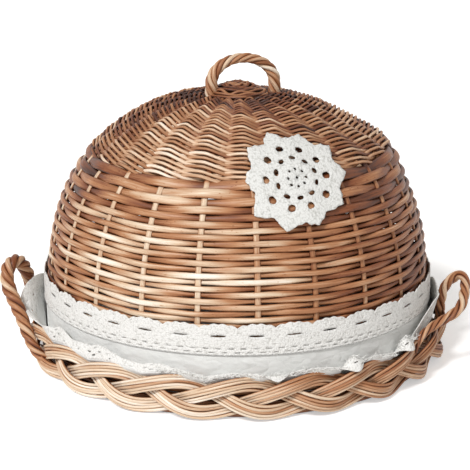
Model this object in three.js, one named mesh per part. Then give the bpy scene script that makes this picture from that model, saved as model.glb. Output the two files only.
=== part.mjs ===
// A woven food cover: a domed wicker lid with cloth trim, standing in a low tray with a plaited border.
// Millimetres, +Z up. The origin is the middle of the tray's underside, and the front looks along -Y.
// Angles round the object run from the front (-Y) towards the right (+X).
import * as THREE from 'three';
import { mergeVertices } from 'three/addons/utils/BufferGeometryUtils.js';

// Clearances
const TOUCH_GAP = 0.3; // between pieces that lie against each other
const LIFT_CLEARANCE = 1; // round the lid's skirt, so that the lid lifts straight out of the tray

// Cloth
const LINEN_THICKNESS = 0.8;
const LACE_THICKNESS = 0.8;

// Lid: an upright wall under a dome
const LID_RADIUS = 166; // outside of the woven wall
const LID_HEIGHT = 214.5; // lower edge to apex
const LID_WALL_HEIGHT = 44; // upright part, below the dome
const DOME_FULLNESS = 2.25; // exponent of the dome's curve: 2 is an ellipse, more is squarer
const LID_WEAVE_THICKNESS = 5;
const CROWN_REACH = 140; // finely woven crown, measured down the dome from its apex
const HOOP_HEIGHT = 6;
const STAKE_COUNT = 22;
const STAKE_DIAMETER = 4.4;
const STAKE_TURN = THREE.MathUtils.degToRad(5.5); // angle of the first stake
const STAKE_EYE_RADIUS = 22; // open middle under the crown, where the stakes' upper ends stop

// Relief of the lid's weave: single rods go in and out of the stakes in the side, twined pairs in the crown
const SIDE_ROW_PITCH = 4.9;
const SIDE_TOP_PITCH = 7.8; // thick rods, under the crown
const SIDE_TOP_ROWS = 6; // rows over which the rods get thinner
const SIDE_RELIEF = 3.2; // from the front of the rods back to the stakes that show between them
const CROWN_ROW_PITCH = 4.4;
const CROWN_RELIEF = 2.6; // from the humps over the stakes back to the valleys between them
const CROWN_SLIT_DEPTH = 1.6; // slits between the rows

// Lid trim
const SKIRT_HEM_LIFT = 1.5; // hem of the linen skirt above the lid's lower edge
const LACE_LIFT = 37.5; // lower edge of the lace above the lid's lower edge
const LACE_WIDTH = 22; // up to the valleys of its scallops
const LACE_SEAM = 7; // the lace laps over the top of the skirt by this much
const LACE_SCALLOPS = 36;
const LACE_SCALLOP_HEIGHT = 3;
const DOILY_POINTS = 10;
const DOILY_RADIUS = 39; // to the tips
const DOILY_NOTCH_DEPTH = 7; // tips to the notches between them
const DOILY_THICKNESS = 1.2;
const DOILY_ANGLE = THREE.MathUtils.degToRad(20.5);
const DOILY_DROP = 3; // its middle below the crown's edge, measured down the dome

// Handles: bundles of twisted rods
const HANDLE_DIAMETER = 11;
const LID_HANDLE_SPAN = 56; // between the middles of its feet
const LID_HANDLE_RISE = 26; // feet to the top of the centre line
const LID_HANDLE_OFFSET = 5; // middle of the handle to the right of the apex
const LID_HANDLE_TURN = THREE.MathUtils.degToRad(18);
const LEFT_EAR_RISE = 45; // feet to the top of the centre line
const LEFT_EAR_LEAN = 13.5; // top of the centre line outside its feet
const RIGHT_EAR_RISE = 39;
const RIGHT_EAR_LEAN = 19.3;
const EAR_SKEW = 29; // how much further out the front leg stands than the rear one, at the arch's steepest
const EAR_BUMP_COUNT = 4; // bumps of the border from the first one to an ear's front foot

// Tray base
const BASE_WEAVE_THICKNESS = 5;
const BASE_STICKS_EACH_WAY = 3;
const PIERCED_STICK_SIZE = 5.2; // split sticks, square
const PIERCED_STICK_PITCH = 7;
const THREADED_STICK_SIZE = 2.6; // sticks pushed through the split ones
const THREADED_STICK_PITCH = 3.2;
const UPSET_THICKNESS = 3; // band of weave that turns up from the base
const UPSET_HEIGHT = 27;

// Tray border: a plait of three flat strands of rods
const STRANDS = 3;
const PLAIT_REPEATS = 7; // full waves of each strand round the tray
const PLAIT_TURN = THREE.MathUtils.degToRad(-3.5); // angle of the first bump, near the front
const STRAND_WIDTH = 11.5;
const STRAND_THICKNESS = 4.6;
const STRAND_CLEARANCE = 1.8; // between the strands where they cross
const PLAIT_SWING_RATIO = 0.92; // a strand's rise and fall, as a share of its width
const BORDER_LIFT = 0.6; // lowest strand above the floor

// Tray liner: linen with a lace edge that stands above the border, highest inside the ear handles
const LINER_FLARE_DROP = 4; // where the liner starts to lean out, below the top of the border
const LINER_RISE = 3; // edge of the linen above the top of the border
const LINER_FRONT_FLARE = 1.5;
const LINER_LACE_WIDTH = 6;
const FLAP_BUMP_COUNT = 4.5; // bumps of the border from the first one to the flap in each ear handle
const FLAP_FLARE = 7;
const FLAP_FLARE_SPREAD = THREE.MathUtils.degToRad(5);
const LEFT_FLAP_LIFT = 16;
const RIGHT_FLAP_LIFT = 6;
const FLAP_LIFT_SPREAD = THREE.MathUtils.degToRad(11);
const FLAP_LACE_WIDTH = 20;

// Fineness of the facets
const RING_STEPS = 2 * STAKE_COUNT;
const LINER_STEPS = 2 * RING_STEPS;
const PROFILE_STEP = 30;
const STAKE_SIDES = 4;
const HANDLE_SIDES = 8;
const HANDLE_STEPS = 20;
const HANDLE_ARCH_SPANS = 6; // stretches of the arch between the points of its centre line
const PLAIT_STEPS_PER_REPEAT = 12;
const STRAND_SIDES = 6;
const SCALLOP_STEPS = 3;
const DOILY_STEPS_PER_POINT = 4;
const DOILY_RINGS = 3;
const DOME_CURVE_POINTS = 48;

// Sizes that follow from those above, from the middle outwards
const skirtInside = LID_RADIUS + TOUCH_GAP;
const skirtOutside = skirtInside + LINEN_THICKNESS;
const linerInside = skirtOutside + LIFT_CLEARANCE;
const linerOutside = linerInside + LINEN_THICKNESS;
const upsetInside = linerOutside + TOUCH_GAP;
const upsetOutside = upsetInside + UPSET_THICKNESS;
const baseRadius = upsetInside - TOUCH_GAP;
const crossingShare = Math.sin(Math.PI / STRANDS); // how far out a strand is where it crosses the next
const plaitDepth = (STRAND_THICKNESS + STRAND_CLEARANCE) / (2 * crossingShare);
const plaitRadius = upsetOutside + TOUCH_GAP + plaitDepth + STRAND_THICKNESS / 2;
const plaitSwing = PLAIT_SWING_RATIO * STRAND_WIDTH;
const plaitMiddle = BORDER_LIFT + plaitSwing + STRAND_WIDTH / 2;
const borderTop = plaitMiddle + plaitSwing + STRAND_WIDTH / 2;

// Heights, from the floor upwards
const stickBottom = BASE_WEAVE_THICKNESS + TOUCH_GAP;
const stickMiddle = stickBottom + PIERCED_STICK_SIZE / 2;
const linerFloor = stickBottom + PIERCED_STICK_SIZE + TOUCH_GAP;
const lidBottom = linerFloor + LINEN_THICKNESS + TOUCH_GAP;
const domeSpring = lidBottom + LID_WALL_HEIGHT;
const apex = lidBottom + LID_HEIGHT;
const linenEdge = borderTop + LINER_RISE;

const finishes = {
  rattan: { color: 0xb97f4b, roughness: 0.55 },
  crownRattan: { color: 0xa56f42, roughness: 0.55 },
  darkRattan: { color: 0x8d5a33, roughness: 0.6 },
  linen: { color: 0xe4e1da, roughness: 0.95 },
  lace: { color: 0xf4f1ea, roughness: 0.9 },
};

function piece(name, geometry, finish) {
  const material = new THREE.MeshStandardMaterial({ metalness: 0, ...finishes[finish] });
  const mesh = new THREE.Mesh(geometry, material);
  mesh.name = name;
  return mesh;
}

// Point at a radius, an angle from the front and a height.
function around(radius, angle, height) {
  return new THREE.Vector3(radius * Math.sin(angle), -radius * Math.cos(angle), height);
}

// Solid of revolution from a list of [radius, height] that ends on the axis or closes on itself.
function turned(profile, steps) {
  const points = profile.map(([radius, height]) => new THREE.Vector2(radius, height));
  return new THREE.LatheGeometry(points, steps, STAKE_TURN).rotateX(Math.PI / 2);
}

// Ring of rectangular section.
function band(inside, outside, bottom, top, steps) {
  const profile = [[inside, bottom], [outside, bottom], [outside, top], [inside, top], [inside, bottom]];
  return turned(profile, steps);
}

function disc(radius, bottom, top, steps) {
  return turned([[0, bottom], [radius, bottom], [radius, top], [0, top]], steps);
}

function signedVolume(points, triangles) {
  const cross = new THREE.Vector3();
  let volume = 0;
  for (let i = 0; i < triangles.length; i += 3) {
    const [a, b, c] = triangles.slice(i, i + 3).map((k) => points[k]);
    volume += a.dot(cross.crossVectors(b, c)) / 6;
  }
  return volume;
}

// Closed skin over rings of points. Loops joins the last ring to the first: otherwise both ends are capped.
// A ring may shrink to one repeated point, which closes the skin there.
function loft(rings, loops = false) {
  const size = rings[0].length;
  const points = rings.flat();
  const triangles = [];
  const add = (...corners) => {
    const [a, b, c] = corners.map((k) => points[k]);
    const flat = a.equals(b) || b.equals(c) || c.equals(a);
    if (!flat) triangles.push(...corners);
  };
  const joins = loops ? rings.length : rings.length - 1;
  for (let i = 0; i < joins; i += 1) {
    const here = i * size;
    const next = ((i + 1) % rings.length) * size;
    for (let j = 0; j < size; j += 1) {
      const k = (j + 1) % size;
      add(here + j, here + k, next + k);
      add(here + j, next + k, next + j);
    }
  }
  if (!loops) {
    const last = (rings.length - 1) * size;
    for (let j = 1; j < size - 1; j += 1) {
      add(0, j + 1, j);
      add(last, last + j, last + j + 1);
    }
  }
  if (signedVolume(points, triangles) < 0) triangles.reverse();
  const geometry = new THREE.BufferGeometry().setFromPoints(points);
  geometry.setIndex(triangles);
  return mergeVertices(geometry);
}

function circle(radius, sides) {
  const turn = (2 * Math.PI) / sides;
  const corner = (_, i) => new THREE.Vector2(radius * Math.cos(i * turn), radius * Math.sin(i * turn));
  return new THREE.Shape(Array.from({ length: sides }, corner));
}

// Outer line of the lid in [radius, height], from its lower edge to the apex.
function makeDomeCurve() {
  const wallMiddle = (lidBottom + domeSpring) / 2;
  const points = [new THREE.Vector2(LID_RADIUS, lidBottom), new THREE.Vector2(LID_RADIUS, wallMiddle)];
  for (let i = 0; i <= DOME_CURVE_POINTS; i += 1) {
    const turn = ((i / DOME_CURVE_POINTS) * Math.PI) / 2;
    const power = 2 / DOME_FULLNESS;
    const radius = i === DOME_CURVE_POINTS ? 0 : LID_RADIUS * Math.cos(turn) ** power;
    points.push(new THREE.Vector2(radius, domeSpring + (apex - domeSpring) * Math.sin(turn) ** power));
  }
  return new THREE.SplineCurve(points);
}

const domeCurve = makeDomeCurve();
const domeLength = domeCurve.getLength();
const crownEdge = domeLength - CROWN_REACH;

// [radius, height] at a distance along the dome's line, moved out of its surface by a depth.
function onDome(along, depth = 0) {
  const share = THREE.MathUtils.clamp(along / domeLength, 0, 1);
  if (share === 1) return [0, apex + depth];
  const point = domeCurve.getPointAt(share);
  const tangent = domeCurve.getTangentAt(share);
  return [point.x + depth * tangent.y, point.y - depth * tangent.x];
}

// Distances from one to another along the dome, in even steps of about PROFILE_STEP.
function evenSteps(from, to) {
  const count = Math.ceil((to - from) / PROFILE_STEP);
  return Array.from({ length: count + 1 }, (_, i) => from + ((to - from) * i) / count);
}

const sideSteps = evenSteps(HOOP_HEIGHT + TOUCH_GAP, crownEdge);
const crownSteps = evenSteps(crownEdge + TOUCH_GAP, domeLength);

// Room that a row of the side takes along the dome, counted from the crown down.
function sidePitch(row) {
  return THREE.MathUtils.lerp(SIDE_TOP_PITCH, SIDE_ROW_PITCH, Math.min(row / SIDE_TOP_ROWS, 1));
}

// Middles of the side's rows along the dome, from the crown down to the skirt, which hides the rest.
function sideRows() {
  const rows = [];
  let edge = crownEdge;
  while (edge - sidePitch(rows.length) > LACE_LIFT) {
    const pitch = sidePitch(rows.length);
    rows.push(edge - pitch / 2);
    edge -= pitch;
  }
  return rows;
}

// Share of a wave that is 0 at each even count, 1 at each odd one and a half between them.
const wave = (count) => (1 - Math.cos(Math.PI * count)) / 2;

// Ring of sections at the stakes and midway between them. Profile gives [radius, height] at a stake count.
function wovenRing(profile) {
  const sections = Array.from({ length: RING_STEPS }, (_, i) => {
    const stakes = (i * STAKE_COUNT) / RING_STEPS;
    const angle = STAKE_TURN + (2 * Math.PI * i) / RING_STEPS;
    return profile(stakes).map(([radius, height]) => around(radius, angle, height));
  });
  return loft(sections, true);
}

function sideWeave() {
  const rows = sideRows();
  const inside = sideSteps.map((along) => onDome(along, -LID_WEAVE_THICKNESS));
  return wovenRing((stakes) => {
    const outside = rows.map((along, row) => onDome(along, -SIDE_RELIEF * wave(stakes + row)));
    return [...inside, onDome(crownEdge), ...outside, onDome(sideSteps[0])];
  });
}

function crownWeave() {
  const start = crownSteps[0];
  const rows = Math.floor((domeLength - STAKE_EYE_RADIUS - start) / CROWN_ROW_PITCH);
  const eye = [STAKE_EYE_RADIUS, STAKE_EYE_RADIUS / 2, 0].map((reach) => onDome(domeLength - reach));
  const inside = crownSteps.map((along) => onDome(along, -LID_WEAVE_THICKNESS)).reverse();
  return wovenRing((stakes) => {
    const valley = CROWN_RELIEF * wave(2 * stakes);
    const outside = Array.from({ length: 2 * rows + 1 }, (_, i) => {
      const slit = CROWN_SLIT_DEPTH * wave(i + 1);
      return onDome(start + (i * CROWN_ROW_PITCH) / 2, -valley - slit);
    });
    return [...outside, ...eye, ...inside];
  });
}

// Height of the dome at a radius.
function domeHeight(radius) {
  const share = 1 - (radius / LID_RADIUS) ** DOME_FULLNESS;
  return domeSpring + (apex - domeSpring) * share ** (1 / DOME_FULLNESS);
}

// Stake that runs up the inside of the lid, flat against the weave.
function lidStake(angle) {
  const depth = LID_WEAVE_THICKNESS + TOUCH_GAP + STAKE_DIAMETER / 2;
  const reaches = (along) => onDome(along, -depth)[0] >= STAKE_EYE_RADIUS;
  const stops = [TOUCH_GAP, ...sideSteps, ...crownSteps.slice(1)].filter(reaches);
  const rings = stops.map((along) => {
    const [middleRadius, middleHeight] = onDome(along, -depth);
    const [faceRadius, faceHeight] = onDome(along, STAKE_DIAMETER / 2 - depth);
    const middle = around(middleRadius, angle, middleHeight);
    const outwards = around(faceRadius, angle, faceHeight).sub(middle);
    const sideways = around(STAKE_DIAMETER / 2, angle + Math.PI / 2, 0);
    return Array.from({ length: STAKE_SIDES }, (_, i) => {
      const turn = (2 * Math.PI * i) / STAKE_SIDES;
      const point = middle.clone().addScaledVector(outwards, Math.cos(turn));
      return point.addScaledVector(sideways, Math.sin(turn));
    });
  });
  return loft(rings);
}

function baseHoop() {
  return band(LID_RADIUS - LID_WEAVE_THICKNESS, LID_RADIUS, lidBottom, lidBottom + HOOP_HEIGHT, RING_STEPS);
}

function linenSkirt() {
  const hem = lidBottom + SKIRT_HEM_LIFT;
  const top = lidBottom + LACE_LIFT + LACE_SEAM;
  return band(skirtInside, skirtOutside, hem, top, RING_STEPS);
}

// Lace lies over the skirt and the weave above it, with a row of scallops along its upper edge.
function laceBand() {
  const innerDepth = 2 * TOUCH_GAP + LINEN_THICKNESS;
  const outerDepth = innerDepth + LACE_THICKNESS;
  const steps = LACE_SCALLOPS * SCALLOP_STEPS;
  const sections = Array.from({ length: steps }, (_, i) => {
    const angle = (2 * Math.PI * i) / steps;
    const scallop = LACE_SCALLOP_HEIGHT * Math.abs(Math.sin((LACE_SCALLOPS * angle) / 2));
    const top = LACE_LIFT + LACE_WIDTH + scallop;
    const corners = [[LACE_LIFT, innerDepth], [LACE_LIFT, outerDepth], [top, outerDepth], [top, innerDepth]];
    return corners.map(([along, depth]) => {
      const [radius, height] = onDome(along, depth);
      return around(radius, angle, height);
    });
  });
  return loft(sections, true);
}

// Star-shaped doily that lies over the edge of the crown.
function doily() {
  const steps = DOILY_POINTS * DOILY_STEPS_PER_POINT;
  const ring = (share, depth) =>
    Array.from({ length: steps }, (_, i) => {
      const turn = (2 * Math.PI * i) / steps;
      const notch = (DOILY_NOTCH_DEPTH * (1 - Math.cos(DOILY_POINTS * turn))) / 2;
      const reach = share * (DOILY_RADIUS - notch);
      const along = crownEdge - DOILY_DROP + reach * Math.cos(turn);
      const [radius, height] = onDome(along, depth);
      return around(radius, DOILY_ANGLE + (reach * Math.sin(turn)) / radius, height);
    });
  const shares = Array.from({ length: DOILY_RINGS + 1 }, (_, i) => i / DOILY_RINGS);
  const under = shares.map((share) => ring(share, 2 * TOUCH_GAP));
  const over = shares.map((share) => ring(share, 2 * TOUCH_GAP + DOILY_THICKNESS)).reverse();
  return loft([...under, ...over]);
}

// Round bundle of rods along an arch. The arch stands on two feet, and its top is off their middle by a rise
// and a lean. The skew moves its first leg out and its other leg in.
function handle(foot, otherFoot, rise, lean = new THREE.Vector3(), skew = new THREE.Vector3()) {
  const middle = foot.clone().lerp(otherFoot, 0.5);
  const half = foot.clone().sub(middle);
  const stub = HANDLE_DIAMETER / 2;
  const up = new THREE.Vector3(0, 0, 1);
  const archAt = (turn) =>
    middle
      .clone()
      .addScaledVector(half, Math.cos(turn))
      .addScaledVector(up, THREE.MathUtils.lerp(stub, rise, Math.sin(turn)))
      .addScaledVector(lean, Math.sin(turn))
      .addScaledVector(skew, Math.sin(2 * turn) / 4);
  const turns = Array.from({ length: HANDLE_ARCH_SPANS + 1 }, (_, i) => (i * Math.PI) / HANDLE_ARCH_SPANS);
  const path = new THREE.CatmullRomCurve3([foot, ...turns.map(archAt), otherFoot]);
  const section = circle(HANDLE_DIAMETER / 2, HANDLE_SIDES);
  return new THREE.ExtrudeGeometry(section, { extrudePath: path, steps: HANDLE_STEPS, bevelEnabled: false });
}

function lidHandle() {
  const along = new THREE.Vector2(Math.cos(LID_HANDLE_TURN), Math.sin(LID_HANDLE_TURN));
  const footAt = (side) => {
    const x = LID_HANDLE_OFFSET + (side * LID_HANDLE_SPAN * along.x) / 2;
    const y = (side * LID_HANDLE_SPAN * along.y) / 2;
    const nearest = Math.max(Math.hypot(x, y) - HANDLE_DIAMETER / 2, 0);
    return new THREE.Vector3(x, y, domeHeight(nearest) + TOUCH_GAP);
  };
  return handle(footAt(-1), footAt(1), LID_HANDLE_RISE);
}

// Angle of a bump of the border, counted from the first one. Side is 1 to the right, -1 to the left.
const bumpAngle = (2 * Math.PI) / (STRANDS * PLAIT_REPEATS);
const bumpAt = (side, count) => PLAIT_TURN + side * count * bumpAngle;

// Ear handle with its feet on two bumps of the border, side by side.
function earHandle(side, rise, lean) {
  const seat = borderTop + TOUCH_GAP;
  const footAt = (bumps) => around(plaitRadius, bumpAt(side, EAR_BUMP_COUNT + bumps), seat);
  const out = around(1, bumpAt(side, EAR_BUMP_COUNT + 0.5), 0);
  const footInset = plaitRadius * (1 - Math.cos(bumpAngle / 2));
  const leanOut = out.clone().multiplyScalar(lean + footInset);
  return handle(footAt(0), footAt(1), rise, leanOut, out.clone().multiplyScalar(EAR_SKEW));
}

function baseWeave() {
  return disc(baseRadius, 0, BASE_WEAVE_THICKNESS, RING_STEPS);
}

// Length of a stick of the base that fits inside the turned-up weave, away from the middle by an offset.
function stickLength(offset, size) {
  const reach = baseRadius * Math.cos(Math.PI / RING_STEPS) - TOUCH_GAP;
  return 2 * Math.sqrt(reach ** 2 - (Math.abs(offset) + size / 2) ** 2);
}

function stickOffset(index, pitch) {
  return (index - (BASE_STICKS_EACH_WAY - 1) / 2) * pitch;
}

// Split stick along X, with the slot that the threaded sticks pass through.
function piercedStick(index) {
  const offset = stickOffset(index, PIERCED_STICK_PITCH);
  const half = stickLength(offset, PIERCED_STICK_SIZE) / 2;
  const slotRise = THREADED_STICK_SIZE / 2 + TOUCH_GAP;
  const slotHalf = stickOffset(BASE_STICKS_EACH_WAY - 1, THREADED_STICK_PITCH) + slotRise;
  const rectangle = (Kind, x, z) =>
    new Kind([[-x, -z], [x, -z], [x, z], [-x, z]].map((corner) => new THREE.Vector2(...corner)));
  const side = rectangle(THREE.Shape, half, PIERCED_STICK_SIZE / 2);
  side.holes.push(rectangle(THREE.Path, slotHalf, slotRise));
  const geometry = new THREE.ExtrudeGeometry(side, { depth: PIERCED_STICK_SIZE, bevelEnabled: false });
  return geometry.rotateX(Math.PI / 2).translate(0, offset + PIERCED_STICK_SIZE / 2, stickMiddle);
}

function threadedStick(index) {
  const offset = stickOffset(index, THREADED_STICK_PITCH);
  const length = stickLength(offset, THREADED_STICK_SIZE);
  const stick = new THREE.BoxGeometry(THREADED_STICK_SIZE, length, THREADED_STICK_SIZE);
  return stick.translate(offset, 0, stickMiddle);
}

function upsetWeave() {
  return band(upsetInside, upsetOutside, 0, UPSET_HEIGHT, LINER_STEPS);
}

// One strand of the plait: it swings up and down, and passes outside one neighbour and inside the other.
function borderStrand(index) {
  const steps = PLAIT_REPEATS * PLAIT_STEPS_PER_REPEAT;
  const sections = Array.from({ length: steps }, (_, i) => {
    const fromBump = (2 * Math.PI * i) / steps;
    const phase = Math.PI / 2 + PLAIT_REPEATS * fromBump + (2 * Math.PI * index) / STRANDS;
    const radius = plaitRadius + plaitDepth * Math.sin(2 * phase);
    const height = plaitMiddle + plaitSwing * Math.sin(phase);
    const slope = Math.atan((plaitSwing * PLAIT_REPEATS * Math.cos(phase)) / plaitRadius);
    return Array.from({ length: STRAND_SIDES }, (__, j) => {
      const turn = (2 * Math.PI * j) / STRAND_SIDES;
      const across = (STRAND_WIDTH / 2) * Math.cos(turn);
      const through = (STRAND_THICKNESS / 2) * Math.sin(turn);
      const shift = (-across * Math.sin(slope)) / plaitRadius;
      return around(radius + through, PLAIT_TURN + fromBump + shift, height + across * Math.cos(slope));
    });
  });
  return loft(sections, true);
}

// Shape of the liner's edge at an angle: its flare and lift, and the width of its lace. It is drawn out to
// a flap at each ear handle.
function linerEdge(angle) {
  const fromBump = Math.atan2(Math.sin(angle - PLAIT_TURN), Math.cos(angle - PLAIT_TURN));
  const offset = Math.abs(fromBump) - FLAP_BUMP_COUNT * bumpAngle;
  const flareShare = Math.exp(-((offset / FLAP_FLARE_SPREAD) ** 2));
  const liftShare = Math.exp(-((offset / FLAP_LIFT_SPREAD) ** 4));
  return {
    flare: THREE.MathUtils.lerp(LINER_FRONT_FLARE, FLAP_FLARE, flareShare),
    lift: (fromBump < 0 ? LEFT_FLAP_LIFT : RIGHT_FLAP_LIFT) * liftShare,
    lace: THREE.MathUtils.lerp(LINER_LACE_WIDTH, FLAP_LACE_WIDTH, liftShare),
  };
}

// Line of the liner's leaning edge at an angle: where it leaves the wall, and where the lace takes over.
function linerLean(angle) {
  const { flare, lift, lace } = linerEdge(angle);
  const start = new THREE.Vector2(linerInside, borderTop - LINER_FLARE_DROP);
  const end = new THREE.Vector2(linerInside + flare, linenEdge + lift);
  const along = end.clone().sub(start).normalize();
  return { start, end, along, lace };
}

const linerStep = (2 * Math.PI) / LINER_STEPS;
const linerAngles = Array.from({ length: LINER_STEPS }, (_, i) => STAKE_TURN + i * linerStep);

// Round floor of the liner, inside its wall.
function linerFloorDisc() {
  return disc(linerInside - TOUCH_GAP, linerFloor, linerFloor + LINEN_THICKNESS, LINER_STEPS);
}

// Wall of the liner: a strip that stands round the floor, with an upper edge that leans out.
function linerWall() {
  const sections = linerAngles.map((angle) => {
    const { start, end } = linerLean(angle);
    const middle = start.clone().lerp(end, 0.5);
    const inside = [[linerInside, linerFloor], ...[start, middle, end].map((point) => point.toArray())];
    const outside = inside.map(([radius, height]) => [radius + LINEN_THICKNESS, height]).reverse();
    return [...inside, ...outside].map(([radius, height]) => around(radius, angle, height));
  });
  return loft(sections, true);
}

// Lace that carries on from the linen's edge.
function linerLace() {
  const sections = linerAngles.map((angle) => {
    const { end, along, lace } = linerLean(angle);
    const far = TOUCH_GAP + lace;
    const corners = [[TOUCH_GAP, 0], [TOUCH_GAP, LACE_THICKNESS], [far, LACE_THICKNESS], [far, 0]];
    return corners.map(([distance, depth]) => {
      const point = end.clone().addScaledVector(along, distance);
      return around(point.x + depth, angle, point.y);
    });
  });
  return loft(sections, true);
}

const numbered = (name, index) => `${name}_${String(index + 1).padStart(2, '0')}`;

const lid = new THREE.Group();
lid.add(piece('lid_crown_weave', crownWeave(), 'crownRattan'));
lid.add(piece('lid_side_weave', sideWeave(), 'rattan'));
for (let i = 0; i < STAKE_COUNT; i += 1) {
  const angle = STAKE_TURN + (2 * Math.PI * i) / STAKE_COUNT;
  lid.add(piece(numbered('lid_stake', i), lidStake(angle), 'darkRattan'));
}
lid.add(piece('lid_base_hoop', baseHoop(), 'rattan'));
lid.add(piece('lid_handle', lidHandle(), 'rattan'));
lid.add(piece('lid_doily', doily(), 'lace'));
lid.add(piece('lid_lace_band', laceBand(), 'lace'));
lid.add(piece('lid_linen_skirt', linenSkirt(), 'linen'));

const tray = new THREE.Group();
tray.add(piece('tray_base_weave', baseWeave(), 'rattan'));
for (let i = 0; i < BASE_STICKS_EACH_WAY; i += 1) {
  tray.add(piece(numbered('base_stick_pierced', i), piercedStick(i), 'darkRattan'));
  tray.add(piece(numbered('base_stick_threaded', i), threadedStick(i), 'darkRattan'));
}
tray.add(piece('tray_upset_weave', upsetWeave(), 'rattan'));
for (let i = 0; i < STRANDS; i += 1) {
  tray.add(piece(numbered('border_strand', i), borderStrand(i), 'rattan'));
}
tray.add(piece('tray_handle_left', earHandle(-1, LEFT_EAR_RISE, LEFT_EAR_LEAN), 'rattan'));
tray.add(piece('tray_handle_right', earHandle(1, RIGHT_EAR_RISE, RIGHT_EAR_LEAN), 'rattan'));
tray.add(piece('liner_floor', linerFloorDisc(), 'linen'));
tray.add(piece('liner_wall', linerWall(), 'linen'));
tray.add(piece('liner_lace_edge', linerLace(), 'lace'));

const foodCover = new THREE.Group();
foodCover.add(tray, lid);

export default foodCover;
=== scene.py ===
import math

import bpy
import numpy as np
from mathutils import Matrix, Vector


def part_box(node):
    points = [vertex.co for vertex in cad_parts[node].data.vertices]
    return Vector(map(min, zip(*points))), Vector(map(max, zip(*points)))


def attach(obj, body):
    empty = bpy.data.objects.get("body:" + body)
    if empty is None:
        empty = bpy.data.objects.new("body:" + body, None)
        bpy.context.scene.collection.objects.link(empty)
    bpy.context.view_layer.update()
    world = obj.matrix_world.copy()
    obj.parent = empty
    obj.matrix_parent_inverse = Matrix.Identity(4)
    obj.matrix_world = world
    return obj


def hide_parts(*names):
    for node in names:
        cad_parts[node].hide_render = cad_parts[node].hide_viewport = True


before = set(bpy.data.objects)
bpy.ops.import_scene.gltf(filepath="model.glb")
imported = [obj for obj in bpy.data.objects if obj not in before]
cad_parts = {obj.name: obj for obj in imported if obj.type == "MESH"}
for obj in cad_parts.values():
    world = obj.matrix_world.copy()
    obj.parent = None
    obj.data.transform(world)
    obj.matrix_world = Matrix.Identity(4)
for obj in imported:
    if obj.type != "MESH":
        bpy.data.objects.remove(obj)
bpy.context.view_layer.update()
scene = bpy.context.scene
rng = np.random.default_rng(11)

# Metres, +Z up. Angles round the object run from the front (-Y) towards the right (+X).
MM = 0.001
PI = math.pi
DEG = PI / 180
TURN = 2 * PI
UP = np.array([0.0, 0.0, 1.0])


def reach(node):
    """Largest distance of a CAD node from the middle line."""
    return max(math.hypot(v.co.x, v.co.y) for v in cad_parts[node].data.vertices)


def low(node):
    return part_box(node)[0].z


def high(node):
    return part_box(node)[1].z


# Lid: an upright wall under a dome
LID_RADIUS = reach("lid_base_hoop")
LID_BOTTOM = low("lid_base_hoop")
LID_APEX = high("lid_crown_weave")
LID_WALL_HEIGHT = 44 * MM
DOME_FULLNESS = 2.25
DOME_STEPS = 900
WALL_STEPS = 79
CROWN_REACH = 140 * MM  # of the crown, down the dome from its apex
HOOP_HEIGHT = high("lid_base_hoop") - LID_BOTTOM
HOOP_RADIUS = 2.9 * MM
SHOULDER_SWELL = 6.5 * MM  # of the lid's right shoulder, out of the even dome
SHOULDER_ANGLE = 100 * DEG
SHOULDER_REACH = 24 * MM  # up and down from the crown's edge
STAKES = 22
HALF_STAKES = STAKES // 2  # each rod crosses the crown and makes two stakes
FIRST_GROUP = 5  # rods in the lower of the two groups that cross
STAKE_TURN = 5.5 * DEG
STAKE_START = 4 * MM
STAKE_RADIUS = 2.6 * MM
STAKE_SIDE_DEPTH = 1.3 * MM  # half of its thickness in the side, where it is flat
STAKE_TIP_RADIUS = 1.35 * MM  # where the stakes cross
STAKE_STEP = 20 * MM  # they change depth this far above and below the crown's edge
STAKE_FADE = 4 * MM  # height over which the painted shade darkens them, under the crown
TAPER_RADIUS = 90 * MM  # stakes and crown rods are thinner inside it
SLATH_PITCH = 2.8 * MM  # between the crossed stakes
SLATH_INSIDE = 9 * MM  # they run parallel inside this radius
SLATH_OUTSIDE = 30 * MM  # and are fanned out from here on

# Lid side: plain weave
SIDE_ROD_DEPTH = 1.75 * MM  # half of the rods' thickness
SIDE_WANDER = (0.5 * MM, 0.15 * MM)  # up and down, of all rows together and of each row
SIDE_SWING = 1.8 * MM  # out of and into the line of the stakes
SIDE_ROW_PITCH = 4.9 * MM
SIDE_TOP_PITCH = 7.8 * MM  # of the thick rods under the crown
SIDE_TOP_ROWS = 6  # rows over which the rods get thinner
SIDE_JOIN = 12 / 22  # part of a row that its first rod takes
SIDE_BUTT = 1.06  # width of a rod at its thick end
SIDE_TIP = 0.95
SIDE_OVERLAP = 0.03  # part of a rod over which the next one takes over
SIDE_FILL = 0.475  # half width of a rod as a part of its row's pitch
SIDE_STAKE_DEPTH = SIDE_SWING + SIDE_ROD_DEPTH  # middle of the stakes under the lid's outer face

# Lid crown: paired rods twined round the stakes
CROWN_ROD_RADIUS = 1.56 * MM
CROWN_ROW_PITCH = 4.4 * MM
CROWN_SWING = 4.5 * MM  # how far a rod stands out over a stake
CROWN_DIP = 2.5 * MM  # and how far it goes in behind the next one
CROWN_SLANT = 3.0 * MM  # drop of a rod to the right of a stake
CROWN_STAKE_DEPTH = CROWN_SWING + CROWN_ROD_RADIUS
CROWN_LEAD = 0.4  # of a rod's highest place, to the left of its stake
CROWN_WANDER = 0.18 * MM  # of a rod, up and down
CROWN_EYE = 27 * MM  # innermost twined row
BINDING_ROUNDS = 5
BINDING_INSIDE = 12 * MM
BINDING_OUTSIDE = CROWN_EYE - 2.5 * MM
BINDING_ROD = (1.3 * MM, 1.2 * MM)  # half of its width and thickness, here and below
BINDING_SWING = 3.2 * MM
WAD_RADIUS = 25 * MM  # dark rods wound over the middle of the crown
WAD_TURNS = 9
WAD_RISE = 3.6 * MM
WAD_EDGE = -4.2 * MM
WAD_EYE = 3 * MM  # its innermost turn
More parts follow.
